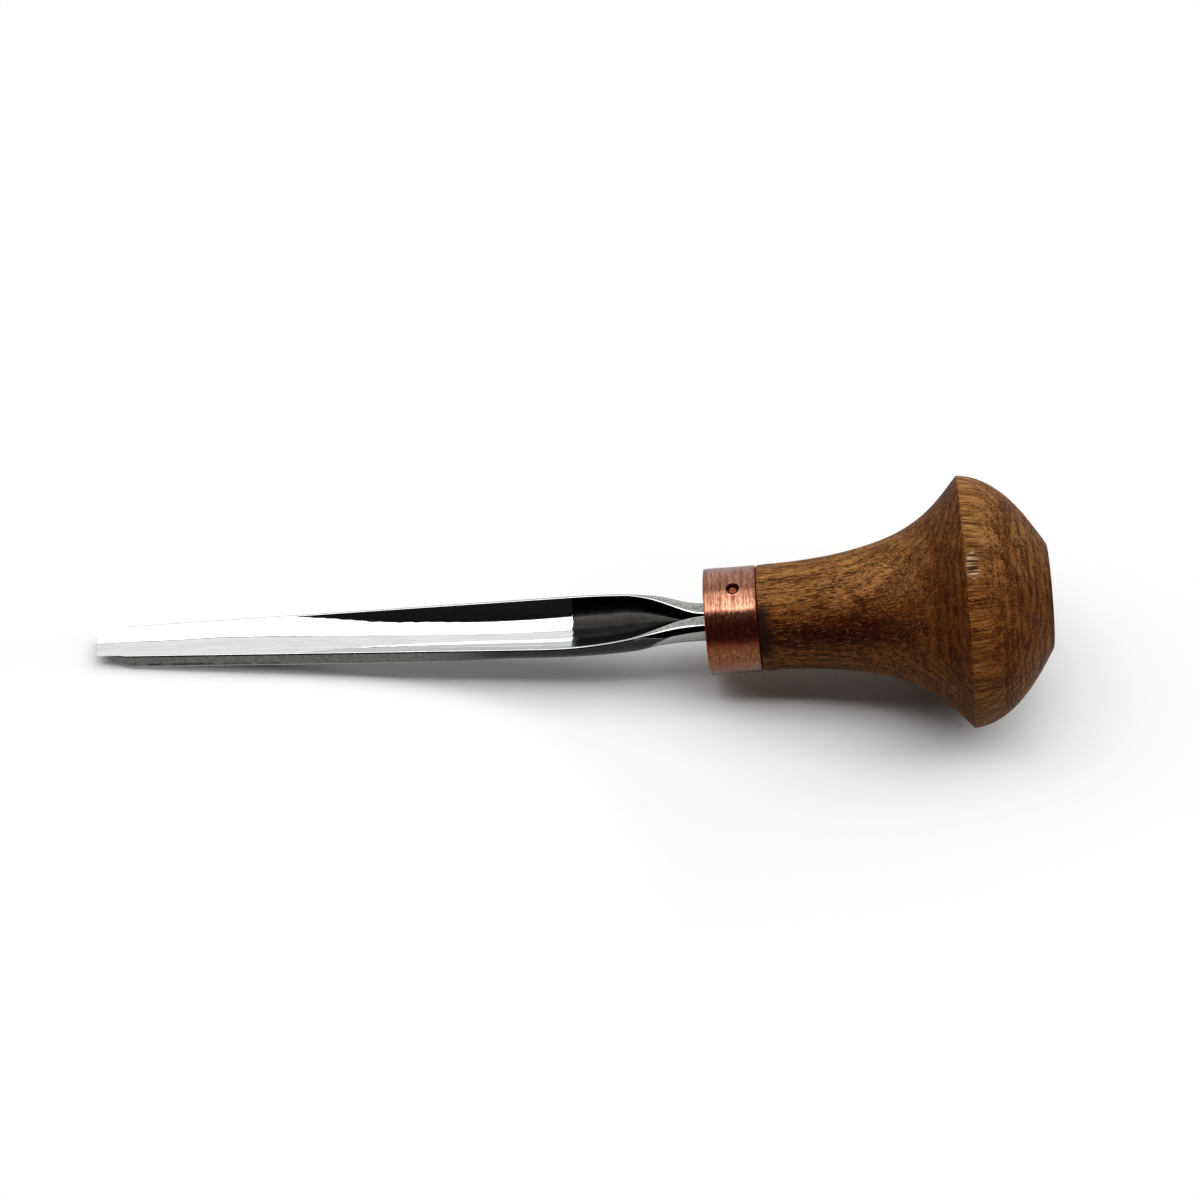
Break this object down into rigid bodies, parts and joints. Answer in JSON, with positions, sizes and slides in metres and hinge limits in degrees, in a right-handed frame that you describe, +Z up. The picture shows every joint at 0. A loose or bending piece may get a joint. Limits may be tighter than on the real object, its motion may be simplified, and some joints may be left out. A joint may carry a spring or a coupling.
{
  "type": "palm gouge",
  "caption": "Palm gouge: a straight tapering fluted steel blade set in a mushroom-shaped hardwood handle with a copper ferrule, for carving wood with hand pressure.",
  "frame": {"origin": "centre of the bounding box's underside, on the surface that the tool lies on", "axes": "+X from the cutting edge towards the handle's butt, +Z up out of the hollow of the flute, +Y to the tool's left when looking from the butt towards the edge"},
  "size_m": [0.1616, 0.0424, 0.0419],
  "materials": {
    "tool_steel": "polished bright in the flute, darker forge scale in the shoulder, fine grinding marks outside",
    "handle_wood": "oiled open-grained brown hardwood, turned and hand smoothed",
    "ferrule_copper": "copper brushed round the tube",
    "pin_copper": "punched copper, dull",
    "bedding_resin": "cured amber resin"
  },
  "bodies": {
    "root": {"blade": "tool_steel", "handle": "handle_wood", "ferrule": "ferrule_copper", "ferrule_pin": "pin_copper", "tang_resin": "bedding_resin"}
  },
  "joints": []
}
